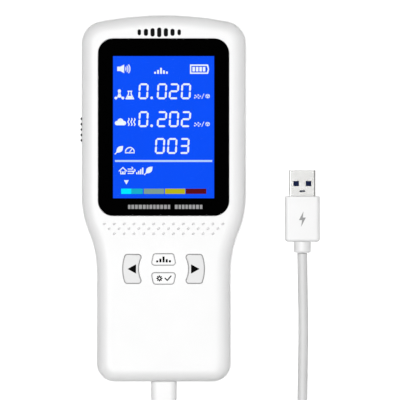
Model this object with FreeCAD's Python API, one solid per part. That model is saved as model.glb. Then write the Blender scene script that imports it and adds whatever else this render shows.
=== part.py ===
import FreeCAD, Part
import math
import os

# Handheld air quality monitor lying on its back, with its USB charging lead plugged in.
#
# Millimetres. +X is the monitor's right as a user sees its face, +Y runs from grip to head, and
# +Z points out of the face. The origin is under the middle of the monitor, on its back face.

Vec = FreeCAD.Vector
X, Y, Z = Vec(1, 0, 0), Vec(0, 1, 0), Vec(0, 0, 1)

# ---- housing -------------------------------------------------------------------------------
LENGTH = 168.0
DEPTH = 27.0
HEAD_WIDTH = 75.0
GRIP_WIDTH = 61.0
CROWN_R = 150.0
HEAD_CORNER_R = 10.0
GRIP_CORNER_R = 8.0
WAIST_TOP = 1.5
WAIST_BOTTOM = -33.5
FACE_EDGE_R = 6.2
BACK_EDGE_R = 6.0
WALL = 2.0
FACE_WALL = 2.6
PARTING_Z = 13.0
PARTING_GAP = 0.3
LIP_HEIGHT = 1.5
LIP_FIT = 0.12
FACE_POST_R = 2.8
BACK_POST_R = 3.4
BOARD_POST_R = 2.0

TOP = LENGTH / 2
BOTTOM = -LENGTH / 2
CAVITY_TOP = DEPTH - FACE_WALL
CAVITY_END = BOTTOM + WALL
LABEL_SIZE = (38.0, 46.0)
LABEL_R = 3.0
LABEL_Y = 2.0
LABEL_DEPTH = 0.3
FAR = 60.0

# ---- display window and screen -------------------------------------------------------------
WINDOW_WIDTH = 60.2
WINDOW_LENGTH = 81.4
WINDOW_CORNER_R = 7.0
WINDOW_Y = 32.7
WINDOW_GAP = 0.15
LENS_THICK = 1.0
MASK_THICK = 0.2
TAPE_THICK = 0.2
LENS_TOP = DEPTH - 0.1
VIEW_WIDTH = 46.4
VIEW_LENGTH = 65.2
SCREEN_WIDTH = 50.4
SCREEN_LENGTH = 71.0
SCREEN_THICK = 1.8
BACKLIGHT_THICK = 2.6
HOLDER_WALL = 1.7
SCREEN_TOP = CAVITY_TOP - 0.3
RECESS_FLOOR = LENS_TOP - LENS_THICK - MASK_THICK - TAPE_THICK
OPENING_MARGIN = 1.0
RIBBON_THICK = 0.3
RIBBON_HALF = 13.0
RIBBON_BEND = 2.0
RIBBON_Y = -8.2

# ---- vents and face texture ----------------------------------------------------------------
VENT_PITCH = 3.05
VENT_X = -2.0
VENT_Y = 76.2
VENT_LENGTHS = (4.5, 3.9, 3.3, 2.75)
VENT_WIDTHS = (1.95, 1.95, 1.95, 1.6)
DIMPLE_PITCH = 4.53
DIMPLE_ROW_Y = (-11.7, -13.85, -16.2)
DIMPLE_ROW_COUNT = (13, 12, 11)
DIMPLE_FLOOR = (0.2, 0.65)
DIMPLE_SPREAD = 1.5
DIMPLE_DEPTH = 0.75
DIMPLE_SLANT = 35.0
FILTER_Y = (73.4, 79.0)
FILTER_THICK = 0.9

# ---- keys ----------------------------------------------------------------------------------
KEYS_Y = -32.3
KEY_PROUD = 0.8
KEY_GAP = 0.35
KEY_CORNER_R = 1.2
KEY_EDGE_R = 0.45
KEY_TRAVEL = 0.5
KEY_FLANGE = 1.0
KEY_FLANGE_THICK = 1.2
SIDE_KEY_OUTER_R = 18.65
SIDE_KEY_INNER_R = 11.6
SIDE_KEY_HALF_LENGTH = 6.55
SIDE_KEY_X = 14.8
MID_KEY_WIDE = 11.2
MID_KEY_NARROW = 9.0
MID_KEY_NEAR = 1.8
MID_KEY_FAR = 6.9
MID_KEY_Y = (MID_KEY_NEAR + MID_KEY_FAR) / 2
TACT_SIZE = 6.0
TACT_HEIGHT = 3.5
PLUNGER_R = 1.5
PLUNGER_PROUD = 1.5
KEY_NAMES = ("left", "right", "upper", "lower")
KEY_CENTRES = {
    "left": (-SIDE_KEY_X, KEYS_Y),
    "right": (SIDE_KEY_X, KEYS_Y),
    "upper": (0.0, KEYS_Y + MID_KEY_Y),
    "lower": (0.0, KEYS_Y - MID_KEY_Y),
}

# ---- main board ----------------------------------------------------------------------------
BOARD_TOP = 17.0
BOARD_THICK = 1.6
BOARD_UNDER = BOARD_TOP - BOARD_THICK
BOARD_HEAD_HALF = 27.5
BOARD_GRIP_HALF = 21.5
BOARD_HEAD_END = 79.5
BOARD_NECK_Y = -8.0
BOARD_GRIP_END = -46.0
CHIP_HALF = 5.0
CHIP_Y = 30.0
CHIP_THICK = 1.4
LEG_PITCH = 0.8
LEG_COUNT = 10
LEG_WIDTH = 0.35
GAS_SENSOR_Y = 75.0
GAS_CAN_R = 4.1
GAS_CAN_HEIGHT = 6.0
GAS_MOUTH_R = 2.6
CELL_X, CELL_Y = 12.0, 57.0
GAS_CELL_R = 10.0
GAS_CELL_HEIGHT = 9.0
MEMBRANE_R = 6.2
BUZZER_X, BUZZER_Y = -14.0, 60.0
BUZZER_R = 4.5
BUZZER_HEIGHT = 4.6
BUZZER_HOLE_R = 1.0
CELL_PINS = ((0.0, 6.0), (-5.0, -4.0), (5.0, -4.0))
CELL_PIN_R = 0.5
REAR_VENT_PITCH = 2.9
REAR_VENT_WIDTH = 1.6
REAR_VENT_LENGTH = 13.0

# ---- power slide on the left side ----------------------------------------------------------
SLIDE_Y = 31.7
SLIDE_Z = 17.4
SLIDE_LENGTH = 13.4
SLIDE_HEIGHT = 5.0
SLIDE_TRAVEL = 3.0
RIDGE_PITCH = 2.48
RIDGE_COUNT = 5
RIDGE_PROUD = 0.75
RIDGE_THICK = 1.15
SLIDE_FIT = 0.3
LEVER_HALF = 0.75
LEVER_Z = BOARD_TOP + 1.9

# ---- fasteners -----------------------------------------------------------------------------
CASE_SCREWS = ((31.0, 71.0), (25.0, -44.0), (24.2, -77.2))
CASE_SCREW_SEAT = 6.0
CASE_SCREW_R = 1.0
CASE_SCREW_LENGTH = 12.0
CASE_SCREW_TIP = CASE_SCREW_SEAT + CASE_SCREW_LENGTH
CASE_HEAD_R = 1.9
CASE_HEAD_HEIGHT = 1.4
BOARD_SCREWS = ((21.5, 75.5), (18.5, -42.5))
BOARD_SCREW_R = 0.8
BOARD_HEAD_R = 1.6
BOARD_HEAD_HEIGHT = 1.0
BOARD_SCREW_LENGTH = 5.6
CHARGER_SCREW_LENGTH = 4.4
SCREW_FIT = 0.03

# ---- battery and charging board ------------------------------------------------------------
BATTERY = (34.0, 50.0, 9.5)
BATTERY_END = -58.0
BATTERY_HEAD = BATTERY_END + BATTERY[1]
BATTERY_FLOOR = 3.1
BATTERY_EDGE_R = 2.2
CRADLE_FIT = 0.5
CRADLE_WALL = 1.2
CRADLE_TOP = 6.0
CRADLE_GATE_HALF = 8.0
BATTERY_MIDDLE_Z = BATTERY_FLOOR + BATTERY[2] / 2
GUARD_LENGTH = 4.0
PAD_FLOOR = WALL
WIRE_R = 0.7
WIRE_REACH = 14.0
WIRE_RISE = 4.8
PORT_Z = 9.0
CHARGER_HALF = 10.0
CHARGER_THICK = 1.6
CHARGER_LENGTH = 19.0
PORT_OUTER = (8.94, 3.2)
PORT_WALL = 0.25
PORT_LENGTH = 7.3
CHARGER_FLOOR = PORT_Z - PORT_OUTER[1] / 2 - CHARGER_THICK
CHARGER_Y = CAVITY_END + 0.3
CHARGER_SCREW_Y = CHARGER_Y + CHARGER_LENGTH - 3.0
CHARGER_SCREWS = ((-7.2, CHARGER_SCREW_Y), (7.2, CHARGER_SCREW_Y))

# ---- charging lead -------------------------------------------------------------------------
CORD_D = 4.5
C_SHELL = (8.25, 2.4)
C_SHELL_WALL = 0.3
C_INSERTED = 6.2
C_BODY = (11.6, 6.4, 18.0)
C_BODY_Y = BOTTOM - 0.2
C_RELIEF_LENGTH = 8.0
C_RELIEF_R = (2.9, 2.6)
GROOVE_WIDTH = 0.7
GROOVE_PITCH = 2.0
GROOVE_FIRST = 1.9
C_EXIT = (0.0, C_BODY_Y - C_BODY[2] - C_RELIEF_LENGTH, PORT_Z)
A_X = 64.0
A_SHELL = (12.0, 4.5, 12.0)
A_SHELL_WALL = 0.3
A_BODY = (16.0, 8.4, 21.0)
A_BODY_TOP = 1.0
A_COLLAR_LENGTH = 5.0
A_COLLAR_R = 3.9
LATCH_X = 2.85
LATCH_HALF = 1.3
LATCH_Y = (4.7, 7.1)
CONTACT_X = (-3.5, -1.0, 1.0, 3.5)
A_EXIT = (A_X, A_BODY_TOP - A_BODY[2] - A_COLLAR_LENGTH, A_BODY[1] / 2)

COIL_X = 36.6
COIL_Y = -133.0
COIL_OUTER = 32.2
COIL_INNER = 15.2
COIL_HEIGHT = 9.4
COIL_EDGE_R = 3.2
TIE_HALF = 3.0
TIE_THICK = 0.8
TIE_FIT = 0.35

# Route of the lead from each plug to the coil, chosen by hand.
C_ROUTE = (
    C_EXIT,
    (0.0, -119.5, 8.4),
    (0.4, -130.0, 5.3),
    (3.8, -140.5, 2.9),
    (10.3, -148.6, 2.3),
    (18.0, -155.0, 2.3),
)
A_ROUTE = (
    A_EXIT,
    (64.2, -39.5, 3.4),
    (64.6, -58.0, 2.3),
    (64.3, -79.0, 2.5),
    (63.9, -99.0, 4.6),
    (63.9, -117.5, 6.85),
)


# ---- small helpers -------------------------------------------------------------------------
def export(name, *solids):
    """One STEP file of one or more separate solids."""
    shape = solids[0] if len(solids) == 1 else Part.makeCompound(list(solids))
    shape.exportStep("parts/" + name + ".step")
    for solid in shape.Solids:
        if not solid.isValid():
            print("NOT VALID:", name)


def box(x0, x1, y0, y1, z0, z1):
    return Part.makeBox(x1 - x0, y1 - y0, z1 - z0, Vec(x0, y0, z0))


def cylinder(r, x, y, z0, z1):
    return Part.makeCylinder(r, z1 - z0, Vec(x, y, z0))


def joined(shapes):
    """All shapes as one clean solid."""
    whole = shapes[0]
    if len(shapes) > 1:
        whole = whole.multiFuse(list(shapes[1:]))
    return whole.removeSplitter()


def line(a, b):
    return Part.LineSegment(a, b).toShape()


def arc(centre, r, start, end):
    """Arc in the XY plane between two angles in degrees."""
    points = []
    for angle in (start, (start + end) / 2, end):
        turn = math.radians(angle)
        points.append(centre + Vec(r * math.cos(turn), r * math.sin(turn), 0))
    return Part.Arc(*points).toShape()


def prism(wire, z0, z1):
    """Solid between two heights over a closed wire drawn at z = 0."""
    face = Part.Face(wire)
    face.translate(Vec(0, 0, z0))
    return face.extrude(Vec(0, 0, z1 - z0))


def edges_at(shape, z):
    """Edges that lie flat at one height."""
    found = []
    for edge in shape.Edges:
        if abs(edge.BoundBox.ZMin - z) < 1e-4 and abs(edge.BoundBox.ZMax - z) < 1e-4:
            found.append(edge)
    return found


def end_edges(shape, y):
    """Edges that lie flat at one place along Y."""
    found = []
    for edge in shape.Edges:
        if abs(edge.BoundBox.YMin - y) < 1e-4 and abs(edge.BoundBox.YMax - y) < 1e-4:
            found.append(edge)
    return found


def edges_along(shape, axis):
    """Straight edges parallel to an axis."""
    found = []
    for edge in shape.Edges:
        if edge.Curve.TypeId == "Part::GeomLine":
            way = (edge.Vertexes[-1].Point - edge.Vertexes[0].Point).normalize()
            if abs(abs(way.dot(axis)) - 1) < 1e-6:
                found.append(edge)
    return found


def joined_arcs(arcs):
    """Closed wire of arcs in order, with a straight run wherever two of them don't touch."""
    edges = []
    for here, after in zip(arcs, arcs[1:] + arcs[:1]):
        edges.append(here)
        a, b = here.Vertexes[-1].Point, after.Vertexes[0].Point
        if (b - a).Length > 1e-5:
            edges.append(line(a, b))
    return Part.Wire(edges)


def rounded_rect(width, length, r, x=0.0, y=0.0):
    """Closed wire of a rectangle with round corners, centred on x, y."""
    dx, dy = width / 2 - r, length / 2 - r
    corners = []
    for start, sx, sy in ((0, 1, 1), (90, -1, 1), (180, -1, -1), (270, 1, -1)):
        corners.append(arc(Vec(x + sx * dx, y + sy * dy, 0), r, start, start + 90))
    return joined_arcs(corners)


def stadium(width, length, x=0.0, y=0.0):
    """Closed wire of a slot with round ends, its long side along Y."""
    reach = (length - width) / 2
    head = arc(Vec(x, y + reach, 0), width / 2, 0, 180)
    foot = arc(Vec(x, y - reach, 0), width / 2, 180, 360)
    return joined_arcs([head, foot])


def along_y(wire, x, z, y0, y1):
    """Solid whose section is a wire drawn in XY, stood up across Y: its y becomes z."""
    face = Part.Face(wire)
    face.rotate(Vec(0, 0, 0), X, 90)
    face.translate(Vec(x, y0, z))
    return face.extrude(Vec(0, y1 - y0, 0))


def tube_along(points, radius):
    """Round tube along straight runs joined by tangent arcs, and the arcs' radii."""
    corners = [Vec(*p) for p in points]
    edges, radii, here = [], [], corners[0]
    for before, at, after in zip(corners, corners[1:], corners[2:]):
        a, b = before - at, after - at
        half_turn = (math.pi - a.getAngle(b)) / 2
        cut = 0.45 * min(a.Length, b.Length)
        radii.append(round(cut / math.tan(half_turn), 1))
        start = at + a.normalize() * cut
        end = at + b.normalize() * cut
        bisector = (a + b).normalize()
        depth = radii[-1] / math.cos(half_turn) - radii[-1]
        edges.append(line(here, start))
        edges.append(Part.Arc(start, at + bisector * depth, end).toShape())
        here = end
    edges.append(line(here, corners[-1]))
    path = Part.Wire(edges)
    way = (corners[1] - corners[0]).normalize()
    section = Part.Wire([Part.Circle(corners[0], way, radius).toShape()])
    tube = path.makePipeShell([section], True, False)
    expected = math.pi * radius**2 * path.Length
    share = round(tube.Volume / expected, 4)
    print("tube", round(path.Length, 1), "mm, radii", radii, "volume", share)
    return tube


# ---- housing -------------------------------------------------------------------------------
def body_outline(inset):
    """The monitor's outline seen from the front, moved inwards by inset."""
    half_head, half_grip = HEAD_WIDTH / 2, GRIP_WIDTH / 2
    step, span = half_head - half_grip, WAIST_TOP - WAIST_BOTTOM
    theta = 2 * math.atan(step / span)
    waist_r = span / (2 * math.sin(theta))
    waist = math.degrees(theta)
    crown_y = TOP - CROWN_R
    corner_x = half_head - HEAD_CORNER_R
    corner_y = crown_y + math.sqrt((CROWN_R - HEAD_CORNER_R) ** 2 - corner_x**2)
    lean = math.degrees(math.atan2(corner_y - crown_y, corner_x))
    foot = Vec(half_grip - GRIP_CORNER_R, BOTTOM + GRIP_CORNER_R, 0)
    arcs = [
        arc(foot, GRIP_CORNER_R - inset, -90, 0),
        arc(Vec(half_grip + waist_r, WAIST_BOTTOM, 0), waist_r + inset, 180, 180 - waist),
        arc(Vec(half_head - waist_r, WAIST_TOP, 0), waist_r - inset, -waist, 0),
        arc(Vec(corner_x, corner_y, 0), HEAD_CORNER_R - inset, 0, lean),
        arc(Vec(0, crown_y, 0), CROWN_R - inset, lean, 180 - lean),
        arc(Vec(-corner_x, corner_y, 0), HEAD_CORNER_R - inset, 180 - lean, 180),
        arc(Vec(waist_r - half_head, WAIST_TOP, 0), waist_r - inset, 180, 180 + waist),
        arc(Vec(-half_grip - waist_r, WAIST_BOTTOM, 0), waist_r + inset, waist, 0),
        arc(Vec(-foot.x, foot.y, 0), GRIP_CORNER_R - inset, 180, 270),
    ]
    return joined_arcs(arcs)


def ring(inset_out, inset_in, z0, z1):
    return prism(body_outline(inset_out), z0, z1).cut(prism(body_outline(inset_in), z0, z1))


def whole_body():
    body = prism(body_outline(0), 0, DEPTH)
    body = body.makeFillet(FACE_EDGE_R, edges_at(body, DEPTH))
    return body.makeFillet(BACK_EDGE_R, edges_at(body, 0))


def cavity():
    inside = prism(body_outline(WALL), WALL, CAVITY_TOP)
    inside = inside.makeFillet(FACE_EDGE_R - WALL, edges_at(inside, CAVITY_TOP))
    return inside.makeFillet(BACK_EDGE_R - WALL, edges_at(inside, WALL))


def mirrored(points):
    """Each point and its mirror image across the monitor's centre plane."""
    return [(side * x, y) for x, y in points for side in (1, -1)]


def vent_cutters():
    cutters = []
    for i in range(-3, 4):
        size = abs(i)
        slot = stadium(VENT_WIDTHS[size], VENT_LENGTHS[size], VENT_X + i * VENT_PITCH, VENT_Y)
        cutters.append(prism(slot, CAVITY_TOP - 1, DEPTH + 1))
    return cutters


def dimple(x, y):
    """Slanted pit that gets narrower as it gets deeper."""
    rims = []
    for spread, z in ((0, DEPTH - DIMPLE_DEPTH), (DIMPLE_SPREAD, DEPTH + DIMPLE_DEPTH)):
        rim = stadium(DIMPLE_FLOOR[0] + spread, DIMPLE_FLOOR[1] + spread)
        rim.rotate(Vec(0, 0, 0), Z, DIMPLE_SLANT - 90)
        rim.translate(Vec(x, y, z))
        rims.append(rim)
    return Part.makeLoft(rims, True, True)


def dimple_cutters():
    cutters = []
    for y, count in zip(DIMPLE_ROW_Y, DIMPLE_ROW_COUNT):
        first = -(count - 1) / 2 * DIMPLE_PITCH
        cutters += [dimple(first + i * DIMPLE_PITCH, y) for i in range(count)]
    return cutters


def slide_cutter():
    """Slot in the left wall that the power slide's thumb piece runs in."""
    y0 = SLIDE_Y - SLIDE_LENGTH / 2 - SLIDE_TRAVEL - SLIDE_FIT
    y1 = SLIDE_Y + SLIDE_LENGTH / 2 + SLIDE_FIT
    half = SLIDE_HEIGHT / 2 + SLIDE_FIT
    x0 = -HEAD_WIDTH / 2 - 1
    slot = box(x0, x0 + WALL + 2, y0, y1, SLIDE_Z - half, SLIDE_Z + half)
    return slot.makeFillet(0.8, edges_along(slot, X))


def window_cutters():
    """The lens's seat in the face, and the opening under it for the screen."""
    width, length = WINDOW_WIDTH + 2 * WINDOW_GAP, WINDOW_LENGTH + 2 * WINDOW_GAP
    seat = rounded_rect(width, length, WINDOW_CORNER_R + WINDOW_GAP, 0, WINDOW_Y)
    width, length = VIEW_WIDTH + 2 * OPENING_MARGIN, VIEW_LENGTH + 2 * OPENING_MARGIN
    opening = rounded_rect(width, length, 0.8, 0, WINDOW_Y)
    return [prism(seat, RECESS_FLOOR, DEPTH + 1), prism(opening, CAVITY_TOP - 1, DEPTH)]


def front_shell(body, inside):
    floor = PARTING_Z + PARTING_GAP / 2
    shell = body.common(box(-FAR, FAR, BOTTOM - 1, TOP + 1, floor, DEPTH + 1)).cut(inside)
    lip = ring(WALL / 2 + LIP_FIT, WALL, PARTING_Z - LIP_HEIGHT, PARTING_Z + 2)
    posts, holes = [], []
    for x, y in mirrored(CASE_SCREWS):
        posts.append(cylinder(FACE_POST_R, x, y, floor, CAVITY_TOP + 0.5).common(body))
        holes.append(cylinder(CASE_SCREW_R + SCREW_FIT, x, y, PARTING_Z - 1, CASE_SCREW_TIP + 1.5))
    for x, y in mirrored(BOARD_SCREWS):
        posts.append(cylinder(BOARD_POST_R, x, y, BOARD_TOP, CAVITY_TOP + 0.5).common(body))
        holes.append(cylinder(BOARD_SCREW_R + SCREW_FIT, x, y, BOARD_TOP - 1, CAVITY_TOP - 2.4))
    for name in KEY_NAMES:
        holes.append(prism(grown(key_outline(name), KEY_GAP), CAVITY_TOP - 1, DEPTH + 1))
    shell = joined([shell, lip] + posts)
    return shell.cut(holes + window_cutters() + vent_cutters() + dimple_cutters() + [slide_cutter()])


def rear_vent_cutters():
    """Slots in the back, over the formaldehyde cell."""
    cutters = []
    for i in range(-3, 4):
        length = REAR_VENT_LENGTH - REAR_VENT_WIDTH * abs(i)
        slot = stadium(REAR_VENT_WIDTH, length, CELL_X + i * REAR_VENT_PITCH, CELL_Y)
        cutters.append(prism(slot, -1, WALL + 1))
    return cutters


def battery_cradle():
    """Low wall round the battery, open in the middle of both ends."""
    def block(out, z0, z1):
        half = BATTERY[0] / 2 + out
        return box(-half, half, BATTERY_END - out, BATTERY_HEAD + out, z0, z1)

    outer = block(CRADLE_FIT + CRADLE_WALL, WALL - 1, CRADLE_TOP)
    y0, y1 = BATTERY_END - 3, BATTERY_HEAD + 3
    gate = box(-CRADLE_GATE_HALF, CRADLE_GATE_HALF, y0, y1, WALL, CRADLE_TOP + 1)
    return outer.cut([block(CRADLE_FIT, 0, CRADLE_TOP + 1), gate])


def rear_shell(body, inside):
    ceiling = PARTING_Z - PARTING_GAP / 2
    shell = body.common(box(-FAR, FAR, BOTTOM - 1, TOP + 1, -1, ceiling)).cut(inside)
    posts, holes = [], []
    for x, y in mirrored(CASE_SCREWS):
        posts.append(cylinder(BACK_POST_R, x, y, 1, ceiling).common(body))
        holes.append(cylinder(CASE_HEAD_R + 0.4, x, y, -1, CASE_SCREW_SEAT))
        holes.append(cylinder(CASE_SCREW_R + 0.15, x, y, 0, PARTING_Z))
    for x, y in CHARGER_SCREWS:
        posts.append(cylinder(BOARD_POST_R, x, y, 1, CHARGER_FLOOR))
        holes.append(cylinder(BOARD_SCREW_R + SCREW_FIT, x, y, WALL + 0.6, CHARGER_FLOOR + 1))
    rabbet = ring(WALL / 2, WALL + 0.4, PARTING_Z - LIP_HEIGHT - 0.2, PARTING_Z)
    label = prism(rounded_rect(*LABEL_SIZE, LABEL_R, 0, LABEL_Y), -1, LABEL_DEPTH)
    mouth = (PORT_OUTER[0] + 0.4, PORT_OUTER[1] + 0.4)
    port = along_y(round_slot(mouth), 0, PORT_Z, BOTTOM - 1, CAVITY_END + 1)
    shell = joined([shell, battery_cradle()] + posts)
    return shell.cut(holes + rear_vent_cutters() + [rabbet, label, port])


# ---- display -------------------------------------------------------------------------------
def window_parts():
    """Adhesive tape, black printed mask and clear lens, from the bottom up."""
    z, edge = RECESS_FLOOR, 0.4
    width, length = WINDOW_WIDTH - 2 * edge, WINDOW_LENGTH - 2 * edge
    outer = rounded_rect(width, length, WINDOW_CORNER_R - edge, 0, WINDOW_Y)
    inner = rounded_rect(VIEW_WIDTH + 3.0, VIEW_LENGTH + 3.0, 1.0, 0, WINDOW_Y)
    tape = prism(outer, z, z + TAPE_THICK).cut(prism(inner, z, z + TAPE_THICK))
    z += TAPE_THICK
    full = rounded_rect(WINDOW_WIDTH, WINDOW_LENGTH, WINDOW_CORNER_R, 0, WINDOW_Y)
    half_w, half_l = VIEW_WIDTH / 2, VIEW_LENGTH / 2
    view = box(-half_w, half_w, WINDOW_Y - half_l, WINDOW_Y + half_l, z - 1, z + 1)
    mask = prism(full, z, z + MASK_THICK).cut(view)
    z += MASK_THICK
    lens = prism(full, z, LENS_TOP)
    lens = lens.makeFillet(0.25, edges_at(lens, LENS_TOP))
    return tape, mask, lens


def slab(width, length, z0, z1):
    """Box behind the window, on its centre."""
    return box(-width / 2, width / 2, WINDOW_Y - length / 2, WINDOW_Y + length / 2, z0, z1)


def screen_stack():
    """Display glass, its backlight and the frame that holds both over the board."""
    glass_floor = SCREEN_TOP - SCREEN_THICK
    light_floor = glass_floor - BACKLIGHT_THICK
    glass = slab(SCREEN_WIDTH, SCREEN_LENGTH, glass_floor, SCREEN_TOP)
    light = slab(SCREEN_WIDTH, SCREEN_LENGTH - 2, light_floor, glass_floor)
    light = light.makeFillet(0.6, edges_along(light, Z))
    width, length = SCREEN_WIDTH + 0.4, SCREEN_LENGTH + 0.4
    frame = slab(width + 2 * HOLDER_WALL, length + 2 * HOLDER_WALL, BOARD_TOP, SCREEN_TOP)
    frame = frame.makeFillet(1.0, edges_along(frame, Z))
    pocket = slab(width, length, light_floor, SCREEN_TOP + 1)
    well = slab(width - 8, length - 8, BOARD_TOP - 1, SCREEN_TOP)
    half, edge_y = RIBBON_HALF + 2, WINDOW_Y - length / 2
    ribbon_gate = box(-half, half, edge_y - 3, edge_y + 1, glass_floor - 0.2, SCREEN_TOP - 0.2)
    return glass, light, frame.cut([pocket, well, ribbon_gate])


def screen_ribbon():
    """Ribbon that folds from the glass's lower edge down to its socket on the board."""
    thick, half, bend, y = RIBBON_THICK, RIBBON_HALF, RIBBON_BEND, RIBBON_Y
    z = SCREEN_TOP - SCREEN_THICK + 0.4
    y0 = WINDOW_Y - SCREEN_LENGTH / 2
    y1 = y + bend
    outer = Part.makeCylinder(bend + thick / 2, 2 * half, Vec(-half, y1, z - bend), X)
    inner = Part.makeCylinder(bend - thick / 2, 2 * half, Vec(-half, y1, z - bend), X)
    quarter = box(-half, half, y1 - bend - 1, y1, z - bend, z + 1)
    fold = outer.cut(inner).common(quarter)
    flat = box(-half, half, y1, y0, z - thick / 2, z + thick / 2)
    drop = box(-half, half, y - thick / 2, y + thick / 2, BOARD_TOP + 0.6, z - bend)
    socket = box(-half - 2, half + 2, y - 1.5, y + 1.5, BOARD_TOP, BOARD_TOP + 1.8)
    slot = box(-half - 0.1, half + 0.1, y - 0.25, y + 0.25, BOARD_TOP + 0.5, BOARD_TOP + 3)
    return joined([flat, fold, drop]), socket.cut(slot)


# ---- keys ----------------------------------------------------------------------------------
def side_key_wire():
    """Left key: a slice of a ring round the middle of the keys, cut off above and below."""
    half = SIDE_KEY_HALF_LENGTH
    centre = Vec(0, KEYS_Y, 0)
    out_lean = math.degrees(math.asin(half / SIDE_KEY_OUTER_R))
    in_lean = math.degrees(math.asin(half / SIDE_KEY_INNER_R))
    outer = arc(centre, SIDE_KEY_OUTER_R, 180 - out_lean, 180 + out_lean)
    inner = arc(centre, SIDE_KEY_INNER_R, 180 + in_lean, 180 - in_lean)
    foot = line(outer.Vertexes[-1].Point, inner.Vertexes[0].Point)
    head = line(inner.Vertexes[-1].Point, outer.Vertexes[0].Point)
    return Part.Wire([outer, foot, inner, head])


def mid_key_wire():
    """Upper middle key: a trapezium whose long side faces the middle of the keys."""
    near, far = KEYS_Y + MID_KEY_NEAR, KEYS_Y + MID_KEY_FAR
    wide, narrow = MID_KEY_WIDE / 2, MID_KEY_NARROW / 2
    corners = [Vec(-wide, near, 0), Vec(wide, near, 0), Vec(narrow, far, 0), Vec(-narrow, far, 0)]
    return Part.makePolygon(corners + corners[:1])


def key_outline(name):
    """Closed wire of a key's edge, with its corners rounded."""
    wire = side_key_wire() if name in ("left", "right") else mid_key_wire()
    block = prism(wire, 0, 1)
    block = block.makeFillet(KEY_CORNER_R, edges_along(block, Z))
    if name == "right":
        block = block.mirror(Vec(0, 0, 0), X)
    if name == "lower":
        block = block.mirror(Vec(0, KEYS_Y, 0), Y)
    return min(block.Faces, key=lambda face: face.CenterOfMass.z).OuterWire


def grown(wire, by):
    """The same outline, moved outwards."""
    return wire.makeOffset2D(by)


def key_parts(name):
    """Key cap with its retaining flange and post, and the switch plunger that it presses."""
    x, y = KEY_CENTRES[name]
    outline = key_outline(name)
    top = DEPTH + KEY_PROUD
    flange_top = CAVITY_TOP - 0.05
    flange_floor = flange_top - KEY_FLANGE_THICK
    cap = prism(outline, flange_floor, top)
    cap = cap.makeFillet(KEY_EDGE_R, edges_at(cap, top))
    flange = prism(grown(outline, KEY_FLANGE), flange_floor, flange_top)
    post_floor = BOARD_TOP + TACT_HEIGHT + PLUNGER_PROUD
    post = cylinder(PLUNGER_R + 0.4, x, y, post_floor + 0.02, flange_floor)
    plunger = cylinder(PLUNGER_R, x, y, BOARD_TOP + 1.6, post_floor)
    return joined([cap, flange, post]), plunger


def tact_switch(x, y):
    half = TACT_SIZE / 2
    body = box(x - half, x + half, y - half, y + half, BOARD_TOP, BOARD_TOP + TACT_HEIGHT)
    body = body.makeFillet(0.4, edges_along(body, Z))
    return body.cut(cylinder(PLUNGER_R + 0.2, x, y, BOARD_TOP + 1.0, BOARD_TOP + TACT_HEIGHT + 1))


# ---- boards and what is on them ------------------------------------------------------------
def main_board():
    thick = (BOARD_UNDER, BOARD_TOP)
    head = box(-BOARD_HEAD_HALF, BOARD_HEAD_HALF, BOARD_NECK_Y, BOARD_HEAD_END, *thick)
    head = head.makeFillet(4.0, edges_along(head, Z))
    grip = box(-BOARD_GRIP_HALF, BOARD_GRIP_HALF, BOARD_GRIP_END, BOARD_NECK_Y + 6, *thick)
    tab = box(-33.4, -26, SLIDE_Y - 7, SLIDE_Y + 7, *thick)
    board = joined([head, grip, tab])
    holes = []
    for x, y in mirrored(BOARD_SCREWS):
        holes.append(cylinder(BOARD_SCREW_R + 0.15, x, y, 0, DEPTH))
    return board.cut(holes)


def main_chip():
    """Square chip under the board, with a row of legs on each of its sides."""
    half, foot, z = CHIP_HALF, CHIP_HALF + 1.0, BOARD_UNDER
    body = box(-half, half, -half, half, z - 0.1 - CHIP_THICK, z - 0.1)
    body = body.makeChamfer(0.3, edges_at(body, z - 0.1 - CHIP_THICK))
    pieces = [body]
    for i in range(LEG_COUNT):
        start = (i - (LEG_COUNT - 1) / 2) * LEG_PITCH - LEG_WIDTH / 2
        for quarter in range(4):
            leg = box(start, start + LEG_WIDTH, half, foot, z - 0.6, z)
            leg.rotate(Vec(0, 0, 0), Z, 90 * quarter)
            pieces.append(leg)
    chip = joined(pieces)
    chip.translate(Vec(0, CHIP_Y, 0))
    return chip


def board_parts():
    """Small parts soldered under the main board: crystal, regulator, coils, resistors."""
    z = BOARD_UNDER
    crystal = cylinder(1.6, 10, 41, z - 2.8, z)
    regulator = box(-14, -8, 10, 16, z - 2.2, z)
    choke = box(9, 15, 12, 18, z - 2.6, z)
    parts = [crystal, regulator, choke]
    for row, y in enumerate((19.5, 40.5)):
        for i in range(5):
            x = -11 + 3.4 * i + row
            parts.append(box(x, x + 1.6, y, y + 0.8, z - 0.6, z))
    for i in range(6):
        y = 22 + 3.0 * i
        parts.append(box(-20, -18.4, y, y + 0.8, z - 0.6, z))
    return parts


def gas_sensor():
    """Metal can with a mesh top, under the front vents."""
    x, y, z = VENT_X, GAS_SENSOR_Y, BOARD_TOP
    top, mesh_floor = z + GAS_CAN_HEIGHT, z + GAS_CAN_HEIGHT - 0.6
    base = cylinder(GAS_CAN_R + 0.8, x, y, z, z + 1.0)
    can = cylinder(GAS_CAN_R, x, y, z + 1.0, top)
    can = can.makeFillet(0.5, edges_at(can, top))
    mouth = cylinder(GAS_MOUTH_R, x, y, mesh_floor, top + 1)
    mesh = cylinder(GAS_MOUTH_R - 0.02, x, y, mesh_floor, mesh_floor + 0.3)
    return joined([base, can]).cut(mouth), mesh


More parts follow.
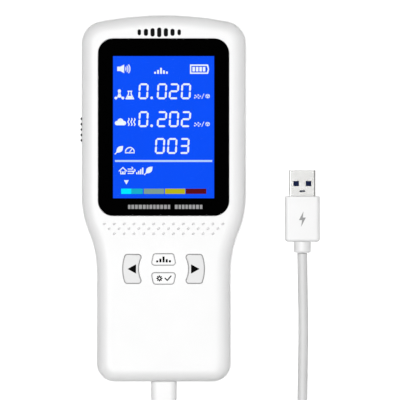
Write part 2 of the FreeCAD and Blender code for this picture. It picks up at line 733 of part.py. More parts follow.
def formaldehyde_cell():
    """Round electrochemical cell under the board, with its gas membrane facing the rear vents."""
    x, y, z = CELL_X, CELL_Y, BOARD_UNDER
    floor, seat = z - GAS_CELL_HEIGHT, z - GAS_CELL_HEIGHT + 0.8
    case = cylinder(GAS_CELL_R, x, y, floor, z - 0.6)
    case = case.makeFillet(0.8, edges_at(case, floor))
    case = case.cut(cylinder(MEMBRANE_R, x, y, floor - 1, seat))
    pins = [cylinder(CELL_PIN_R, x + dx, y + dy, z - 0.7, z) for dx, dy in CELL_PINS]
    membrane = cylinder(MEMBRANE_R - 0.02, x, y, floor + 0.2, seat)
    return joined([case] + pins), membrane


def buzzer():
    """Round sounder under the board, with its sound hole facing the back."""
    floor = BOARD_UNDER - BUZZER_HEIGHT
    can = cylinder(BUZZER_R, BUZZER_X, BUZZER_Y, floor, BOARD_UNDER)
    can = can.makeFillet(0.4, edges_at(can, floor))
    return can.cut(cylinder(BUZZER_HOLE_R, BUZZER_X, BUZZER_Y, floor - 1, floor + 1.6))


def vent_filter(inside):
    """Thin foam against the inside of the face, behind the front vents."""
    half = 3 * VENT_PITCH + 2.2
    foam = box(VENT_X - half, VENT_X + half, *FILTER_Y, CAVITY_TOP - FILTER_THICK, CAVITY_TOP)
    return foam.common(inside)


# ---- power slide ---------------------------------------------------------------------------
def slide_ridges(z0, z1):
    """Grip ridges across the thumb piece, standing out of the wall."""
    wall_out = -HEAD_WIDTH / 2
    ridges = []
    for i in range(RIDGE_COUNT):
        y = SLIDE_Y + (i - (RIDGE_COUNT - 1) / 2) * RIDGE_PITCH
        y0, y1 = y - RIDGE_THICK / 2, y + RIDGE_THICK / 2
        ridge = box(wall_out - RIDGE_PROUD, wall_out + 0.6, y0, y1, z0 + 0.4, z1 - 0.4)
        tip = [edge for edge in edges_along(ridge, Z) if edge.CenterOfMass.x < wall_out]
        ridges.append(ridge.makeFillet(RIDGE_THICK / 2 - 0.05, tip))
    return ridges


def power_slide():
    """Ribbed thumb piece with the wider plate that keeps it in the wall."""
    wall_in = WALL - HEAD_WIDTH / 2
    half_l, half_h = SLIDE_LENGTH / 2, SLIDE_HEIGHT / 2
    z0, z1 = SLIDE_Z - half_h, SLIDE_Z + half_h
    thumb = box(wall_in - WALL + 0.15, wall_in + 0.3, SLIDE_Y - half_l, SLIDE_Y + half_l, z0, z1)
    thumb = thumb.makeFillet(0.7, edges_along(thumb, X))
    half_l += SLIDE_TRAVEL + 0.8
    y0, y1 = SLIDE_Y - half_l, SLIDE_Y + half_l
    plate = box(wall_in + 0.1, wall_in + 1.1, y0, y1, z0 - 0.9, z1 + 0.9)
    half = LEVER_HALF + 0.15
    y0, y1 = SLIDE_Y - half, SLIDE_Y + half
    pocket = box(wall_in + 0.5, wall_in + 2, y0, y1, LEVER_Z - half, LEVER_Z + half)
    return joined([thumb, plate] + slide_ridges(z0, z1)).cut(pocket)


def power_switch():
    """Slide switch on the board's edge, and its lever that stands in the thumb piece's pocket."""
    y, half = SLIDE_Y - SLIDE_TRAVEL / 2, LEVER_HALF + 0.15
    case = box(-33.2, -29.2, y - 4.6, y + 4.6, BOARD_TOP, BOARD_TOP + 3.6)
    gate = box(-34.0, -31.0, y - 2.7, y + 2.7, LEVER_Z - half, LEVER_Z + half)
    y0, y1 = SLIDE_Y - LEVER_HALF, SLIDE_Y + LEVER_HALF
    lever = box(-34.8, -31.2, y0, y1, LEVER_Z - LEVER_HALF, LEVER_Z + LEVER_HALF)
    return case.cut(gate), lever


# ---- fasteners -----------------------------------------------------------------------------
def screw(x, y, z, r, head_r, head_h, length):
    """Screw whose head bears at height z and whose shank points up."""
    head = cylinder(head_r, x, y, z - head_h, z)
    head = head.makeFillet(0.3, edges_at(head, z - head_h))
    shank = cylinder(r, x, y, z, z + length)
    shank = shank.makeChamfer(r * 0.5, edges_at(shank, z + length))
    reach = head_r * 0.6
    blade = box(x - reach, x + reach, y - 0.2, y + 0.2, z - head_h - 1, z - head_h * 0.45)
    other = blade.copy()
    other.rotate(Vec(x, y, 0), Z, 90)
    return joined([head, shank]).cut([blade, other])


# ---- battery and charging board ------------------------------------------------------------
def battery():
    """Pouch cell, the taped guard board on its head end, and the foam pad under it."""
    half, z, top = BATTERY[0] / 2, BATTERY_FLOOR, BATTERY_FLOOR + BATTERY[2]
    shoulder = BATTERY_HEAD - GUARD_LENGTH
    cell = box(-half, half, BATTERY_END, shoulder, z, top)
    cell = cell.makeFillet(BATTERY_EDGE_R, edges_along(cell, Y))
    guard = box(2 - half, half - 2, shoulder, BATTERY_HEAD, z + 2.5, top - 2.5)
    pad = box(-13, 13, BATTERY_END + 6, BATTERY_END + 38, PAD_FLOOR, z)
    return cell, guard, pad


def battery_wire(x):
    """One wire from the battery's guard board round to the plug on the main board."""
    y, z = BATTERY_HEAD, BATTERY_MIDDLE_Z
    route = (
        (x, y, z),
        (x * 1.2, y + 4.5, z + 0.4),
        (x * 0.8, y + 9.5, z + 3.2),
        (x * 0.6, y + WIRE_REACH, z + WIRE_RISE),
    )
    return tube_along(route, WIRE_R)


def battery_connector():
    """Two-way plug and its socket on the underside of the main board."""
    y, z = BATTERY_HEAD + WIRE_REACH, BATTERY_MIDDLE_Z + WIRE_RISE
    plug = box(-3.4, 3.4, y, y + 5, z - 1.6, z + 1.4)
    plug = plug.makeFillet(0.3, edges_along(plug, Y))
    socket = box(-4.4, 4.4, y + 1.5, y + 8, z - 2.5, BOARD_UNDER)
    return plug, socket.cut(box(-3.5, 3.5, y + 1, y + 5.1, z - 1.7, z + 1.5))


def charger():
    """Charging board behind the port, and the small parts on it."""
    y, z, top = CHARGER_Y, CHARGER_FLOOR, CHARGER_FLOOR + CHARGER_THICK
    board = box(-CHARGER_HALF, CHARGER_HALF, y, y + CHARGER_LENGTH, z, top)
    holes = [cylinder(BOARD_SCREW_R + 0.15, a, b, z - 1, top + 1) for a, b in CHARGER_SCREWS]
    chip = box(-2.5, 2.5, y + 9.5, y + 13.5, top, top + 1.5)
    choke = box(-8.0, -4.4, y + 7.0, y + 10.6, top, top + 1.8)
    capacitors = [box(x, x + 0.9, y + 8, y + 10, top, top + 0.8) for x in (5.0, 6.8)]
    return board.cut(holes), [chip, choke] + capacitors


def charger_screw(x, y):
    """Board screw with its head on top of the charging board."""
    size = (BOARD_SCREW_R, BOARD_HEAD_R, BOARD_HEAD_HEIGHT, CHARGER_SCREW_LENGTH)
    upright = screw(x, y, 0, *size)
    upright.rotate(Vec(x, y, 0), X, 180)
    upright.translate(Vec(0, 0, CHARGER_FLOOR + CHARGER_THICK))
    return upright


def round_slot(size, shrink=0.0):
    """Wire of a connector's round-ended mouth."""
    width, height = size[0] - 2 * shrink, size[1] - 2 * shrink
    return rounded_rect(width, height, height / 2 - 0.01)


def usb_port():
    """Charging port's metal shell and the tongue inside it."""
    y0 = BOTTOM + 0.1
    y1 = y0 + PORT_LENGTH
    shell = along_y(round_slot(PORT_OUTER), 0, PORT_Z, y0, y1)
    shell = shell.cut(along_y(round_slot(PORT_OUTER, PORT_WALL), 0, PORT_Z, y0 - 1, y1 - 0.6))
    tongue = box(-3.3, 3.3, y0 + 1.2, y1 - 0.6, PORT_Z - 0.35, PORT_Z + 0.35)
    return shell, tongue


# ---- charging lead -------------------------------------------------------------------------
def port_plug():
    """Plug in the monitor's port: metal shell, moulded grip and ribbed strain relief."""
    width, height, length = C_BODY
    near, far = C_BODY_Y, C_BODY_Y - length
    shell = along_y(round_slot(C_SHELL), 0, PORT_Z, near, near + C_INSERTED)
    shell = shell.cut(along_y(round_slot(C_SHELL, C_SHELL_WALL), 0, PORT_Z, near + 0.5, near + 20))
    grip = along_y(rounded_rect(width, height, height / 2 - 0.3), 0, PORT_Z, far, near)
    grip = grip.makeFillet(0.8, end_edges(grip, far) + end_edges(grip, near))
    relief = Part.makeCone(*C_RELIEF_R, C_RELIEF_LENGTH, Vec(0, far, PORT_Z), -Y)
    grooves = []
    for i in range(3):
        start = Vec(0, far - GROOVE_FIRST - GROOVE_PITCH * i, PORT_Z)
        groove = Part.makeCylinder(2 * C_RELIEF_R[0], GROOVE_WIDTH, start, -Y)
        grooves.append(groove.cut(Part.makeCylinder(CORD_D / 2 + 0.17, GROOVE_WIDTH, start, -Y)))
    return shell, grip, relief.cut(grooves)


def charger_plug_shell():
    """Folded metal shell of the far plug, with its latch windows and the key of its seam."""
    width, height, length = A_SHELL
    wall, z = A_SHELL_WALL, A_BODY[1] / 2
    y0, y1 = A_BODY_TOP, A_BODY_TOP + length
    shell = along_y(rounded_rect(width, height, 0.7), A_X, z, y0, y1)
    bore = rounded_rect(width - 2 * wall, height - 2 * wall, 0.4)
    cutters = [along_y(bore, A_X, z, y0 - 1, y1 + 1)]
    for side in (-1, 1):
        x = A_X + side * LATCH_X
        near, far = y0 + LATCH_Y[0], y0 + LATCH_Y[1]
        window = box(x - LATCH_HALF, x + LATCH_HALF, near, far, z - 4, z + 4)
        cutters.append(window.makeFillet(0.25, edges_along(window, Z)))
    cutters.append(prism(rounded_rect(2.6, 0.8, 0.39, A_X, y0 + 2.4), z, z + 4))
    return shell.cut(cutters)


def charger_plug_inside():
    """Tongue in the lower half of the far plug's shell, and the contacts on it."""
    width, height, length = A_SHELL
    z, y0, y1 = A_BODY[1] / 2, A_BODY_TOP, A_BODY_TOP + length
    half, floor, top = width / 2 - 0.4, z - height / 2 + A_SHELL_WALL + 0.02, z - 0.02
    tongue = box(A_X - half, A_X + half, y0, y1 - 0.6, floor, top)
    low_edges = [edge for edge in edges_along(tongue, Y) if edge.CenterOfMass.z < z - 1]
    contacts = []
    for dx in CONTACT_X:
        x = A_X + dx
        contacts.append(box(x - 0.5, x + 0.5, y1 - 4.6, y1 - 1.2, top, top + 0.15))
    return tongue.makeFillet(0.45, low_edges), contacts


def charger_grip():
    """Moulded grip of the far plug, and the collar that the cord leaves by."""
    width, height, length = A_BODY
    z, far = height / 2, A_BODY_TOP - length
    grip = along_y(rounded_rect(width, height, 1.7), A_X, z, far, A_BODY_TOP)
    grip = grip.makeFillet(1.5, end_edges(grip, far))
    grip = grip.makeFillet(0.5, end_edges(grip, A_BODY_TOP))
    collar = Part.makeCylinder(A_COLLAR_R, A_COLLAR_LENGTH, Vec(A_X, far, z), -Y)
    return grip, collar.makeFillet(0.9, end_edges(collar, far - A_COLLAR_LENGTH))


def coil_solid():
    """Outer shape of the coiled part of the lead."""
    thick, height = COIL_OUTER - COIL_INNER, COIL_HEIGHT
    section = rounded_rect(thick, height, COIL_EDGE_R)
    section.rotate(Vec(0, 0, 0), X, 90)
    section.translate(Vec(COIL_X + (COIL_OUTER + COIL_INNER) / 2, COIL_Y, height / 2))
    return Part.Face(section).revolve(Vec(COIL_X, COIL_Y, 0), Z, 360)


def coil_tie():
    """Strap round the coil at the side away from the monitor."""
    def arch(half, reach, floor, r):
        """Box over the coil's section, rounded along its two top edges."""
        x0, x1 = COIL_X - half, COIL_X + half
        y0, y1 = COIL_Y - COIL_OUTER - reach, COIL_Y - COIL_INNER + reach
        block = box(x0, x1, y0, y1, floor, COIL_HEIGHT + reach)
        return block.makeFillet(r, [edge for edge in edges_along(block, X) if edge.CenterOfMass.z > 1])

    outside = arch(TIE_HALF, TIE_FIT + TIE_THICK, 0, 3.4)
    return outside.cut(arch(TIE_HALF + 1, TIE_FIT, -1, 2.8))


def main():
    os.makedirs("parts", exist_ok=True)
    body, inside = whole_body(), cavity()
    export("front_shell", front_shell(body, inside))
    export("rear_shell", rear_shell(body, inside))

    tape, mask, lens = window_parts()
    export("window_tape", tape)
    export("window_mask", mask)
    export("window_lens", lens)
    glass, light, frame = screen_stack()
    export("display_glass", glass)
    export("display_backlight", light)
    export("display_frame", frame)
    ribbon, socket = screen_ribbon()
    export("display_ribbon", ribbon)
    export("ribbon_socket", socket)

    for name in KEY_NAMES:
        cap, plunger = key_parts(name)
        export("key_" + name, cap)
        export("plunger_" + name, plunger)
    export("key_switches", *[tact_switch(*KEY_CENTRES[name]) for name in KEY_NAMES])

    export("main_board", main_board())
    export("main_chip", main_chip())
    export("board_parts", *board_parts())
    can, mesh = gas_sensor()
    export("gas_sensor", can)
    export("gas_sensor_mesh", mesh)
    cell, membrane = formaldehyde_cell()
    export("formaldehyde_cell", cell)
    export("cell_membrane", membrane)
    export("buzzer", buzzer())
    export("vent_filter", vent_filter(inside))

    export("power_slide", power_slide())
    case, lever = power_switch()
    export("power_switch", case)
    export("power_lever", lever)

    case_size = (CASE_SCREW_R, CASE_HEAD_R, CASE_HEAD_HEIGHT, CASE_SCREW_LENGTH)
    places = mirrored(CASE_SCREWS)
    export("case_screws", *[screw(x, y, CASE_SCREW_SEAT, *case_size) for x, y in places])
    board_size = (BOARD_SCREW_R, BOARD_HEAD_R, BOARD_HEAD_HEIGHT, BOARD_SCREW_LENGTH)
    places = mirrored(BOARD_SCREWS)
    export("board_screws", *[screw(x, y, BOARD_UNDER, *board_size) for x, y in places])

    cell, guard, pad = battery()
    export("battery_cell", cell)
    export("battery_guard", guard)
    export("battery_pad", pad)
    export("battery_wire_red", battery_wire(1.6))
    export("battery_wire_black", battery_wire(-1.6))
    plug, socket = battery_connector()
    export("battery_plug", plug)
    export("battery_socket", socket)

    board, parts = charger()
    export("charging_board", board)
    export("charging_parts", *parts)
    export("charger_screws", *[charger_screw(x, y) for x, y in CHARGER_SCREWS])
    shell, tongue = usb_port()
    export("port_shell", shell)
    export("port_tongue", tongue)

    shell, grip, relief = port_plug()
    export("lead_port_shell", shell)
    export("lead_port_grip", grip)
    export("lead_port_relief", relief)
    export("lead_plug_shell", charger_plug_shell())
    tongue, contacts = charger_plug_inside()
    export("lead_plug_tongue", tongue)
    export("lead_plug_contacts", *contacts)
    grip, collar = charger_grip()
    export("lead_plug_grip", grip)
    export("lead_plug_collar", collar)
    export("lead_cord_port_side", tube_along(C_ROUTE, CORD_D / 2))
    export("lead_cord_plug_side", tube_along(A_ROUTE, CORD_D / 2))
    export("lead_coil", coil_solid())
    export("lead_tie", coil_tie())


main()
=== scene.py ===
"""Looks of a handheld air quality monitor on its back, with its USB charging lead.

Metres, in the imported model's own frame: +X is the monitor's right, +Y its head, +Z out of its face.
"""

import math

import bmesh
import bpy
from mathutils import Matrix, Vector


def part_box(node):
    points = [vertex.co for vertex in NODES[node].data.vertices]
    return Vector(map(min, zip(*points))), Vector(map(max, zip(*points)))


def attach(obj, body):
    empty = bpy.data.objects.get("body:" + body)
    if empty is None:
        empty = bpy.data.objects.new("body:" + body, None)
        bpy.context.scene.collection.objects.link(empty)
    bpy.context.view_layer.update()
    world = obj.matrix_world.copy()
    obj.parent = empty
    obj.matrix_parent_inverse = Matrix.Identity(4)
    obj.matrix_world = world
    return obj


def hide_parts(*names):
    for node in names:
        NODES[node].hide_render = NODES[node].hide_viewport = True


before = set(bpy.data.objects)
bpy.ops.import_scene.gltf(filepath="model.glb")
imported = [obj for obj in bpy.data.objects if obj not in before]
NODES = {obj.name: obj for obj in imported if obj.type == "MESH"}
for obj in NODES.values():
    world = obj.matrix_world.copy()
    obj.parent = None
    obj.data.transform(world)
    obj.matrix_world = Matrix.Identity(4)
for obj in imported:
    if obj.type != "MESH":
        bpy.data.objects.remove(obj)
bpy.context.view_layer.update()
MM = 0.001
ROOT = "monitor"
LEAD = "charging_lead"


# ---- camera, lights and floor --------------------------------------------------------------
CAMERA_HEIGHT = 2.6
CAMERA_X = 16.7 * MM
CAMERA_Y = -0.7 * MM
VIEW_WIDTH = 183.9 * MM
VIEW_PLANE_Z = 20 * MM
SENSOR = 36.0

# Name, size, power, azimuth, elevation and distance, in metres, watts and degrees.
MAIN_LIGHT = ("light_top", 0.34, 139, 0, 89.9, 3.4)
CARDS = (
    ("card_right", 0.56, 1.15, 90, 77.3, 1.55),
    ("card_left", 0.7, 8.8, -90, 70, 1.7),
    ("card_head", 0.7, 8.8, 180, 70, 1.7),
    ("card_foot", 0.7, 8.8, 0, 70, 1.7),
    *((f"card_around_{azimuth}", 1.0, 1.2, azimuth, 45, 1.35) for azimuth in range(30, 390, 60)),
)
SIDE_LIGHTS = (
    ("light_left", 0.5, 0.3, -75, 38, 1.3),
    ("light_right", 0.5, 0.2, 80, 38, 1.3),
    ("light_head", 0.5, 0.2, 180, 42, 1.3),
    ("light_foot", 0.5, 0.2, 0, 42, 1.3),
)
WORLD_STRENGTH = 0.03
FLOOR_HALF_SIZE = 3.0
FLOOR_Z = -0.02 * MM


def add_camera():
    """Looks straight down at the monitor, from far enough away to hide its side walls."""
    data = bpy.data.cameras.new("camera")
    data.sensor_width = SENSOR
    data.lens = SENSOR * (CAMERA_HEIGHT - VIEW_PLANE_Z) / VIEW_WIDTH
    data.clip_start, data.clip_end = 0.02, 20.0
    camera = bpy.data.objects.new("camera", data)
    camera.location = (CAMERA_X, CAMERA_Y, CAMERA_HEIGHT)
    bpy.context.scene.collection.objects.link(camera)
    bpy.context.scene.camera = camera


def add_light(name, size, power, azimuth, elevation, distance, lights=True, mirrored=True):
    """Soft square light that faces the middle of the monitor.

    lights is whether it lights matt faces, and mirrored whether glossy faces reflect it.
    """
    data = bpy.data.lights.new(name, "AREA")
    data.shape = "SQUARE"
    data.size = size
    data.energy = power
    light = bpy.data.objects.new(name, data)
    turn, rise = math.radians(azimuth), math.radians(elevation)
    light.location = (
        distance * math.cos(rise) * math.sin(turn),
        -distance * math.cos(rise) * math.cos(turn),
        distance * math.sin(rise),
    )
    light.rotation_euler = (math.radians(90) - rise, 0, turn)
    light.visible_camera = False
    light.visible_diffuse = lights
    light.visible_glossy = mirrored
    light.visible_transmission = False
    bpy.context.scene.collection.objects.link(light)


def add_lights():
    """One light from above, weak ones round the sides, and cards for shiny faces to mirror.

    The cards light no matt face, and the light from above is in no reflection.
    """
    add_light(*MAIN_LIGHT, mirrored=False)
    for card in CARDS:
        add_light(*card, lights=False)
    for light in SIDE_LIGHTS:
        add_light(*light)
    world = bpy.data.worlds.new("studio")
    world.use_nodes = True
    background = world.node_tree.nodes["Background"]
    background.inputs["Color"].default_value = (1, 1, 1, 1)
    background.inputs["Strength"].default_value = WORLD_STRENGTH
    bpy.context.scene.world = world
    bpy.context.scene.view_settings.view_transform = "Standard"


def add_floor(material):
    """Square floor just under the monitor's back."""
    half, z = FLOOR_HALF_SIZE, FLOOR_Z
    mesh = bpy.data.meshes.new("floor")
    corners = [(-half, -half, z), (half, -half, z), (half, half, z), (-half, half, z)]
    mesh.from_pydata(corners, [], [(0, 1, 2, 3)])
    mesh.materials.append(material)
    floor = bpy.data.objects.new("floor", mesh)
    bpy.context.scene.collection.objects.link(floor)


# ---- materials -----------------------------------------------------------------------------
NOISE_LOW, NOISE_HIGH = 0.3, 0.7
SMOOTHEST = 0.02
WAVE_PERIOD = 0.3
WEAVE_DEPTH = 80e-6
SMOOTH_ANGLE = 32


def grey(value):
    return (value, value, value)


def scaled(color, factor):
    return tuple(min(1.0, c * factor) for c in color)


def noise(tree, scale, stretch=(1, 1, 1)):
    """Noise of that many grains a metre, fixed to the piece it is on."""
    place = tree.nodes.new("ShaderNodeTexCoord")
    mapping = tree.nodes.new("ShaderNodeMapping")
    mapping.inputs["Scale"].default_value = stretch
    texture = tree.nodes.new("ShaderNodeTexNoise")
    texture.inputs["Scale"].default_value = scale
    texture.inputs["Detail"].default_value = 3.0
    tree.links.new(place.outputs["Object"], mapping.inputs["Vector"])
    tree.links.new(mapping.outputs["Vector"], texture.inputs["Vector"])
    return texture.outputs["Fac"]


def ramp(tree, value, low, high):
    """Noise, which is seldom outside its low and high values, spread over two numbers."""
    spread = tree.nodes.new("ShaderNodeMapRange")
    spread.inputs["From Min"].default_value = NOISE_LOW
    spread.inputs["From Max"].default_value = NOISE_HIGH
    spread.inputs["To Min"].default_value = low
    spread.inputs["To Max"].default_value = high
    tree.links.new(value, spread.inputs["Value"])
    return spread.outputs["Result"]


def blended(tree, value, first, second):
    """Colour that goes from first to second as a noise value goes from low to high."""
    mix = tree.nodes.new("ShaderNodeMix")
    mix.data_type = "RGBA"
    mix.inputs["A"].default_value = (*first, 1)
    mix.inputs["B"].default_value = (*second, 1)
    tree.links.new(ramp(tree, value, 0.0, 1.0), mix.inputs["Factor"])
    return mix.outputs["Result"]


def surface(
    name,
    color,
    roughness,
    metallic=0.0,
    vary=0.03,
    cloud=18.0,
    grain=0.5,
    depth=3.0,
    uneven=0.05,
    stretch=(1, 1, 1),
    **sockets,
):
    """Material with cloudy colour, and with fine grain in its roughness and its height.

    vary is the colour's share of change and uneven the roughness's change. cloud and grain are
    sizes in millimetres, depth is in micrometres, and sockets sets the shader's own sockets.
    """
    material = bpy.data.materials.new(name)
    material.use_nodes = True
    tree = material.node_tree
    shader = tree.nodes["Principled BSDF"]
    shader.inputs["Metallic"].default_value = metallic
    for socket, value in sockets.items():
        shader.inputs[socket.replace("_", " ")].default_value = value
    coarse = noise(tree, 1 / (cloud * MM), stretch)
    fine = noise(tree, 1 / (grain * MM), stretch)
    color_out = blended(tree, coarse, scaled(color, 1 - vary), scaled(color, 1 + vary))
    tree.links.new(color_out, shader.inputs["Base Color"])
    rough_out = ramp(tree, fine, max(SMOOTHEST, roughness - uneven), roughness + uneven)
    tree.links.new(rough_out, shader.inputs["Roughness"])
    bump = tree.nodes.new("ShaderNodeBump")
    bump.inputs["Distance"].default_value = depth * 1e-6
    tree.links.new(fine, bump.inputs["Height"])
    tree.links.new(bump.outputs["Normal"], shader.inputs["Normal"])
    return material


def lit(name, color, vary=0.02):
    """Shines in its own colour, slightly uneven."""
    material = surface(name, scaled(color, 0.1), 0.6, vary=vary, depth=0.5, Specular_IOR_Level=0.0)
    tree = material.node_tree
    shader = tree.nodes["Principled BSDF"]
    clouds = noise(tree, 1 / (25 * MM))
    glow = blended(tree, clouds, scaled(color, 1 - vary), scaled(color, 1 + vary))
    tree.links.new(glow, shader.inputs["Emission Color"])
    shader.inputs["Emission Strength"].default_value = 1.0
    return material


def woven(name, color, pitch):
    """Cloth-like weave of two crossing waves, pitch millimetres apart."""
    material = surface(name, color, 0.85, vary=0.06, grain=0.3, depth=10.0)
    tree = material.node_tree
    place = tree.nodes.new("ShaderNodeTexCoord")
    waves = []
    for direction in ("X", "Y"):
        wave = tree.nodes.new("ShaderNodeTexWave")
        wave.bands_direction = direction
        wave.inputs["Scale"].default_value = WAVE_PERIOD / (pitch * MM)
        tree.links.new(place.outputs["Object"], wave.inputs["Vector"])
        waves.append(wave.outputs["Fac"])
    both = tree.nodes.new("ShaderNodeMath")
    both.operation = "MAXIMUM"
    tree.links.new(waves[0], both.inputs[0])
    tree.links.new(waves[1], both.inputs[1])
    bump = tree.nodes.new("ShaderNodeBump")
    bump.inputs["Distance"].default_value = WEAVE_DEPTH
    tree.links.new(both.outputs["Value"], bump.inputs["Height"])
    tree.links.new(bump.outputs["Normal"], tree.nodes["Principled BSDF"].inputs["Normal"])
    return material


def shaded_in_gaps(material, reach=1.1, deepest=0.3):
    """Darkens the colour where other faces are within reach millimetres: pits, gaps and seams."""
    tree = material.node_tree
    color = tree.nodes["Principled BSDF"].inputs["Base Color"]
    openness = tree.nodes.new("ShaderNodeAmbientOcclusion")
    openness.inputs["Distance"].default_value = reach * MM
    openness.samples = 12
    spread = tree.nodes.new("ShaderNodeMapRange")
    spread.inputs["From Min"].default_value = 0.1
    spread.inputs["From Max"].default_value = 0.65
    spread.inputs["To Min"].default_value = deepest
    tree.links.new(openness.outputs["AO"], spread.inputs["Value"])
    shade = tree.nodes.new("ShaderNodeVectorMath")
    shade.operation = "SCALE"
    tree.links.new(color.links[0].from_socket, shade.inputs[0])
    tree.links.new(spread.outputs["Result"], shade.inputs["Scale"])
    tree.links.new(shade.outputs["Vector"], color)
    return material


def clear_window(name):
    """Hard-coated acrylic: clear, with a faint unevenness in its polish."""
    material = surface(name, (0.96, 0.97, 0.99), 0.03, vary=0.005, depth=0.0, uneven=0.01)
    shader = material.node_tree.nodes["Principled BSDF"]
    shader.inputs["Transmission Weight"].default_value = 1.0
    shader.inputs["IOR"].default_value = 1.3
    return material


HOUSING = shaded_in_gaps(
    surface("housing", grey(0.69), 0.42, vary=0.012, grain=0.7, depth=2.5, Specular_IOR_Level=0.5),
    deepest=0.7,
)
LEAD_WHITE = surface("lead_moulding", grey(0.66), 0.42, vary=0.015, grain=0.5, depth=4.0)
# The cord's white is kept greyer than the mouldings': painted shade, for the shade along the round
# cord.
CORD_WHITE = surface("cord_jacket", grey(0.53), 0.48, vary=0.02, grain=0.8, depth=8.0)
PLATED = surface(
    "plated_steel",
    (0.50, 0.50, 0.49),
    0.24,
    1.0,
    grain=0.35,
    depth=0.2,
    uneven=0.02,
    stretch=(1, 0.12, 1),
)
CAD_MATERIALS = {
    "front_shell": HOUSING,
    "rear_shell": HOUSING,
    "window_tape": surface("tape", grey(0.002), 0.8, vary=0.3, Specular_IOR_Level=0.0),
    "window_mask": surface(
        "window_print", grey(0.001), 0.6, vary=0.2, depth=1.0, Specular_IOR_Level=0.0
    ),
    "window_lens": clear_window("window"),
    "display_glass": lit("screen_blue", (0.0037, 0.084, 0.97)),
    "display_backlight": surface("light_guide", grey(0.9), 0.3),
    "display_frame": surface("frame_plastic", (0.82, 0.80, 0.74), 0.5),
    "display_ribbon": surface("ribbon", (0.55, 0.27, 0.05), 0.3, vary=0.1),
    "ribbon_socket": surface("socket", (0.80, 0.77, 0.68), 0.5),
    "key_left": shaded_in_gaps(surface("key_grey", grey(0.58), 0.4, vary=0.015, grain=0.5)),
    "key_upper": shaded_in_gaps(surface("key_white", grey(0.69), 0.4, vary=0.015, grain=0.5)),
    "plunger_left": surface("plunger", grey(0.03), 0.5),
    "key_switches": surface("switch_steel", (0.62, 0.62, 0.60), 0.35, 1.0),
    "main_board": surface("board", (0.012, 0.16, 0.06), 0.35, vary=0.1, grain=1.2, depth=8.0),
    "main_chip": surface("chip", grey(0.03), 0.55, vary=0.1),
    "board_parts": surface("small_parts", (0.10, 0.09, 0.08), 0.5, vary=0.3, cloud=3.0),
    "gas_sensor": surface("sensor_can", (0.66, 0.66, 0.64), 0.3, 1.0),
    "gas_sensor_mesh": woven("sensor_mesh", grey(0.35), 0.25),
    "formaldehyde_cell": surface("cell_case", (0.70, 0.71, 0.73), 0.5),
    "cell_membrane": surface("membrane", grey(0.85), 0.9, grain=0.15, depth=12.0),
    "vent_filter": surface(
        "filter_foam", grey(0.006), 0.95, vary=0.3, grain=0.25, depth=60.0, Specular_IOR_Level=0.1
    ),
    "power_slide": surface("slide", grey(0.013), 0.55, grain=0.4, depth=4.0, Specular_IOR_Level=0.25),
    "case_screws": surface("screw", grey(0.5), 0.3, 1.0, vary=0.06, grain=0.3),
    "battery_cell": surface("pouch", (0.66, 0.67, 0.69), 0.32, 1.0, grain=2.0, depth=20.0),
    "battery_pad": surface("foam_pad", grey(0.10), 0.9, grain=0.4, depth=30.0),
    "battery_wire_red": surface("wire_red", (0.5, 0.02, 0.02), 0.45),
    "port_shell": PLATED,
    # A blue tongue, its colour darkened and darkened more deep in the shell: painted shade inside the
    # plug's mouth.
    "lead_plug_tongue": shaded_in_gaps(
        surface("tongue_blue", (0.002, 0.007, 0.035), 0.6, vary=0.08, Specular_IOR_Level=0.1),
        reach=3.0,
        deepest=0.05,
    ),
    "lead_plug_contacts": surface("gold", (0.80, 0.60, 0.30), 0.25, 1.0),
    "lead_plug_grip": LEAD_WHITE,
    "lead_tie": woven("strap", grey(0.72), 0.7),
}
SAME_MATERIAL = {
    "key_right": "key_left",
    "key_lower": "key_upper",
    "plunger_right": "plunger_left",
    "plunger_upper": "plunger_left",
    "plunger_lower": "plunger_left",
    "power_lever": "plunger_left",
    "port_tongue": "plunger_left",
    "buzzer": "plunger_left",
    "power_switch": "key_switches",
    "charging_board": "main_board",
    "charging_parts": "main_chip",
    "board_screws": "case_screws",
    "charger_screws": "case_screws",
    "battery_guard": "display_ribbon",
    "battery_plug": "ribbon_socket",
    "battery_socket": "ribbon_socket",
    "battery_wire_black": "plunger_left",
    "lead_port_shell": "port_shell",
    "lead_plug_shell": "port_shell",
    "lead_port_grip": "lead_plug_grip",
    "lead_port_relief": "lead_plug_grip",
    "lead_plug_collar": "lead_plug_grip",
    "lead_coil": "lead_plug_grip",
    "lead_cord_port_side": "lead_plug_grip",
    "lead_cord_plug_side": "lead_plug_grip",
}


def paint_cad():
    """Gives every CAD node its material, and shades its curved faces smoothly."""
    for name, node in NODES.items():
        node.data.materials.clear()
        node.data.materials.append(CAD_MATERIALS[SAME_MATERIAL.get(name, name)])
        node.data.shade_smooth()
        node.data.set_sharp_from_angle(angle=math.radians(SMOOTH_ANGLE))


# ---- charging lead -------------------------------------------------------------------------
CORD_DIAMETER = 4.5 * MM
COIL_CENTRE = (36.6, -133.0)
COIL_LOW_Z = 2.3
COIL_HIGH_Z = 6.85
COIL_RADIUS = 29.8
COIL_EYE_RADIUS = 17.6
COIL_EXIT_RADIUS = 27.3
COIL_START = 230.0
COIL_TURNS = (2.75, 0.35, 2.261)
POINTS_PER_TURN = 18

# From each plug to the coil, in millimetres, as in the part's own source.
PORT_ROUTE = (
    (0.0, -109.8, 9.0),
    (0.0, -119.5, 8.4),
    (0.4, -130.0, 5.3),
    (3.8, -140.5, 2.9),
    (10.3, -148.6, 2.3),
)
PLUG_ROUTE = (
    (63.9, -117.5, 6.85),
    (63.9, -99.0, 4.6),
    (64.3, -79.0, 2.5),
    (64.6, -58.0, 2.3),
    (64.2, -39.5, 3.4),
    (64.0, -25.4, 4.2),
)


